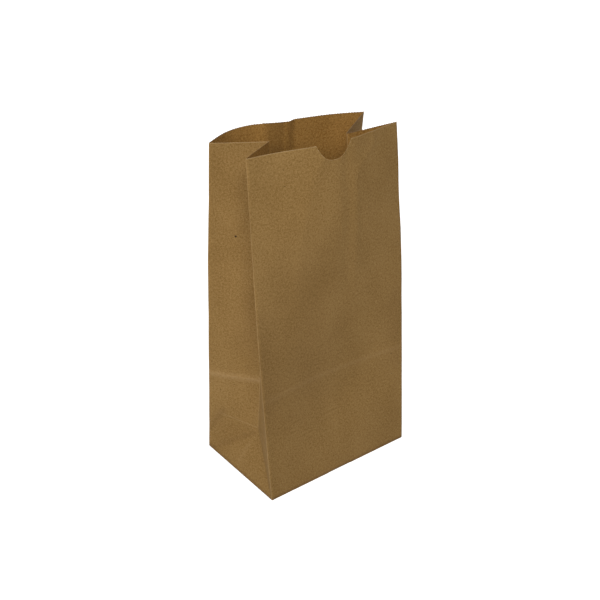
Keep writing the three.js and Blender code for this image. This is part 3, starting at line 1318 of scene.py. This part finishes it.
@dataclass
class LunchBag:
    """The whole bag: one sheet of paper, folded, glued and standing open."""

    sizes: BagSizes = BagSizes()
    finish: KraftFinish = KraftFinish()
    node: str = "paper_bag"
    name: str = "folded_paper_bag"
    body: str = "root"
    slot: str = "kraft_paper"
    sharp_angle: float = 50.0
    rim_darkening: float = 0.7
    dot_into: float = 20.8
    dot_height: float = 203.2

    def creases(self) -> tuple[Crease, ...]:
        """Soft lines pressed in while the bag was packed flat, a small stain, and soft patches of
        painted shade.

        Returns:
            The lines.
        """
        s = self.sizes
        half, depth = s.half_gusset, s.depth
        return (
            Crease(Panel.FRONT, (0.0, depth), (s.width, depth), 1.6, Mark.BAND, 0.35, 0.12),
            Crease(Panel.BACK, (0.0, s.knee_rise), (s.width, s.knee_rise), 1.4, Mark.BAND, 0.6, 0.2),
            Crease(Panel.LEFT_BACK_HALF, (0.0, 76.0), (half, 83.6), 2.6, Mark.BAND, 1.0, 0.5),
            Crease(Panel.LEFT_BACK_HALF, (42.0, 26.0), (38.0, 8.0), 2.2, Mark.BAND, 0.35),
            # Painted shade just below the left gusset's diagonal fold.
            Crease(Panel.LEFT_BACK_HALF, (10.0, 6.6), (half, 36.5), 2.2, Mark.STAIN_AND_SHADE, 0.33),
            # Painted shadow of a small fold near the gusset's back edge, over a slight dip.
            Crease(Panel.LEFT_BACK_HALF, (12.9, 42.9), (1.3, 21.7), 3.4, Mark.STAIN_AND_SHADE, 0.3, -0.2),
            # A small stain near the foot of the gusset.
            Crease(Panel.LEFT_BACK_HALF, (0.5, 1.0), (7.0, 3.0), 2.4, Mark.STAIN_AND_SHADE, 0.5),
            # Wide, faint patches of painted shade on the left gusset and the front panel.
            Crease(Panel.LEFT_BACK_HALF, (40.0, 148.0), (33.0, 118.0), 15.0, Mark.STAIN_AND_SHADE, 0.2),
            Crease(Panel.FRONT, (2.0, 150.0), (4.0, 88.0), 20.0, Mark.STAIN_AND_SHADE, 0.26),
            Crease(Panel.FRONT, (40.0, 180.0), (46.0, 84.0), 34.0, Mark.STAIN_AND_SHADE, 0.18),
            Crease(Panel.FRONT, (133.0, 130.0), (133.0, 78.0), 14.0, Mark.STAIN_AND_SHADE, 0.26),
            Crease(Panel.LEFT_FRONT_HALF, (0.0, 83.6), (half, 78.0), 2.4, Mark.BAND, 0.8, 0.4),
            Crease(Panel.RIGHT_BACK_HALF, (0.0, 84.0), (half, 77.0), 2.6, Mark.BAND, 0.9, 0.45),
            Crease(Panel.RIGHT_FRONT_HALF, (0.0, 78.0), (half, 84.0), 2.4, Mark.BAND, 0.8, 0.4),
        )

    def build(self) -> bpy.types.Object:
        """Cuts, folds and dresses the bag.

        Returns:
            The bag's object.
        """
        form = FoldedForm(self.sizes)
        sheet = PaperSheet(self.sizes, form, PressedRelief(form, self.creases()))
        flat = sheet.cut_blank()
        sheet.fold_up(flat)
        piece = self._thicken(flat)
        start, starts = self.sizes.sheet_start, self.sizes.starts
        dot = ((starts[Panel.LEFT_BACK_HALF] + self.dot_into) * MM, self.dot_height * MM)
        self.finish.dress(piece, dot, (start * MM, start * MM + self.sizes.seam_width * MM))
        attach(piece, self.body)
        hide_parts(self.node)
        log.info("%s: %d faces", piece.name, len(piece.data.polygons))
        return piece

    def _thicken(self, flat: bmesh.types.BMesh) -> bpy.types.Object:
        """Gives the folded sheet the thickness of its paper.

        Args:
            flat: The folded sheet without thickness, which is freed.

        Returns:
            The bag's object.
        """
        skin = bpy.data.meshes.new(self.name + "_skin")
        flat.to_mesh(skin)
        flat.free()
        piece = bpy.data.objects.new(self.name, skin)
        bpy.context.scene.collection.objects.link(piece)
        shell = piece.modifiers.new("paper", "SOLIDIFY")
        shell.thickness = self.sizes.paper * MM
        shell.offset = 0.0
        graph = bpy.context.evaluated_depsgraph_get()
        solid = bpy.data.meshes.new_from_object(piece.evaluated_get(graph))
        piece.modifiers.clear()
        piece.data = solid
        outer_points = len(skin.vertices)
        bpy.data.meshes.remove(skin)
        solid.polygons.foreach_set("use_smooth", [True] * len(solid.polygons))
        solid.set_sharp_from_angle(angle=radians(self.sharp_angle))
        self._mark_inside(solid, outer_points)
        return piece

    def _mark_inside(self, solid: bpy.types.Mesh, outer_points: int) -> None:
        """Marks the points of the paper's inner face, where the finish paints in bounced light, and
        darkens its cut rim.

        Args:
            solid: The sheet with its thickness.
            outer_points: Number of points of its outer face, which come first.
        """
        marks = (Mark.INNER, Mark.CUT, Mark.STAIN_AND_SHADE)
        inner, cut, stain_and_shade = (solid.attributes[mark.value].data for mark in marks)
        for point in range(outer_points, len(solid.vertices)):
            inner[point].value = 1.0
            # Darkens the cut rim where it is seen from inside.
            stain_and_shade[point].value = max(stain_and_shade[point].value, self.rim_darkening * cut[point].value)
            cut[point].value = 0.0


@dataclass(frozen=True)
class Lamp:
    """A soft square lamp."""

    name: str
    place: Triple
    size: float
    watts: float

    def hang(self, target: Triple) -> bpy.types.Object:
        """Adds the lamp to the scene.

        Args:
            target: The point it looks at.

        Returns:
            The lamp's object.
        """
        data = bpy.data.lights.new(self.name, "AREA")
        data.shape = "SQUARE"
        data.size = self.size
        data.energy = self.watts
        lamp = bpy.data.objects.new(self.name, data)
        lamp.location = self.place
        aim = Vector(target) - Vector(self.place)
        lamp.rotation_euler = aim.to_track_quat("-Z", "Y").to_euler()
        bpy.context.scene.collection.objects.link(lamp)
        return lamp


@dataclass(frozen=True)
class Studio:
    """White floor and surroundings, soft light and the camera, in metres and degrees.

    The lens and the sensor are in millimetres.
    """

    floor_size: float = 8.0
    floor_cells: int = 4
    floor_tone: float = 0.74
    floor_roughness: float = 0.9
    floor_glow: float = 0.75
    glow_range: Place = (0.5, 2.2)
    sky: float = 0.05
    lamps: tuple[Lamp, ...] = (
        Lamp("key_left", (-1.25, -0.5, 1.05), 0.7, 14.2),
        Lamp("high_front", (-0.48, -0.7, 0.97), 0.36, 4.75),
        Lamp("fill_right", (0.95, -0.6, 0.7), 0.8, 2.5),
        Lamp("fill_back", (1.1, 1.3, 1.0), 1.0, 16.0),
    )
    lit_point: Triple = (0.0, 0.0, 0.12)
    eye: Triple = (-0.48799, -0.63154, 0.60721)
    heading: float = 37.344
    tilt: float = 30.596
    lens: float = 72.62
    sensor: float = 36.0

    def lay_floor(self) -> bpy.types.Object:
        """Adds the floor, which shows white to the camera and keeps the bag's shadow.

        Returns:
            The floor's object.
        """
        mesh = bmesh.new()
        cells = self.floor_cells
        bmesh.ops.create_grid(mesh, x_segments=cells, y_segments=cells, size=self.floor_size / 2.0)
        data = bpy.data.meshes.new("floor")
        mesh.to_mesh(data)
        mesh.free()
        floor = bpy.data.objects.new("floor", data)
        bpy.context.scene.collection.objects.link(floor)
        material = bpy.data.materials.new("floor_white")
        tree = NodeTree.of(material)
        place = tree.add("ShaderNodeTexCoord").outputs["Object"]
        away = tree.add("ShaderNodeVectorMath", {0: place}, operation="LENGTH").outputs["Value"]
        far = tree.ramp(away, *self.glow_range)
        glow = tree.math("MULTIPLY_ADD", far, 1.0 - self.floor_glow, self.floor_glow)
        inputs = {
            "Base Color": (self.floor_tone,) * 3 + (1.0,),
            "Roughness": self.floor_roughness,
            "Specular IOR Level": 0.0,
            "Emission Color": WHITE,
            "Emission Strength": tree.math("MULTIPLY", self._seen(tree), glow),
        }
        shader = tree.add("ShaderNodeBsdfPrincipled", inputs)
        tree.add("ShaderNodeOutputMaterial", {"Surface": shader.outputs["BSDF"]})
        data.materials.append(material)
        return floor

    @staticmethod
    def _seen(tree: NodeTree) -> Socket:
        """1 for what the camera sees, straight or by way of gloss or glass.

        Args:
            tree: Node tree of the floor or the world.

        Returns:
            The value.
        """
        path = tree.add("ShaderNodeLightPath").outputs
        seen = tree.math("ADD", path["Is Camera Ray"], path["Is Glossy Ray"])
        return tree.math("ADD", seen, path["Is Transmission Ray"], clamp=True)

    def light(self) -> None:
        """Sets the world's even light and hangs the lamps."""
        world = bpy.data.worlds.new("studio")
        bpy.context.scene.world = world
        tree = NodeTree.of(world)
        strength = tree.math("MULTIPLY_ADD", self._seen(tree), 1.0 - self.sky, self.sky)
        back = tree.add("ShaderNodeBackground", {"Color": WHITE, "Strength": strength})
        tree.add("ShaderNodeOutputWorld", {"Surface": back.outputs["Background"]})
        for lamp in self.lamps:
            lamp.hang(self.lit_point)

    def camera(self) -> bpy.types.Object:
        """Adds the camera at the photograph's viewpoint.

        Returns:
            The camera's object.
        """
        data = bpy.data.cameras.new("camera")
        data.sensor_width = self.sensor
        data.lens = self.lens
        camera = bpy.data.objects.new("camera", data)
        camera.location = self.eye
        camera.rotation_euler = (radians(90.0 - self.tilt), 0.0, radians(-self.heading))
        bpy.context.scene.collection.objects.link(camera)
        bpy.context.scene.camera = camera
        return camera


def main() -> None:
    """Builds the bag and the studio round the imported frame."""
    logging.basicConfig(level=logging.INFO, format="%(name)s: %(message)s")
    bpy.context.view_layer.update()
    bpy.context.scene.view_settings.view_transform = "Standard"
    studio = Studio()
    studio.camera()
    studio.lay_floor()
    studio.light()
    LunchBag().build()


if __name__ == "__main__":
    main()
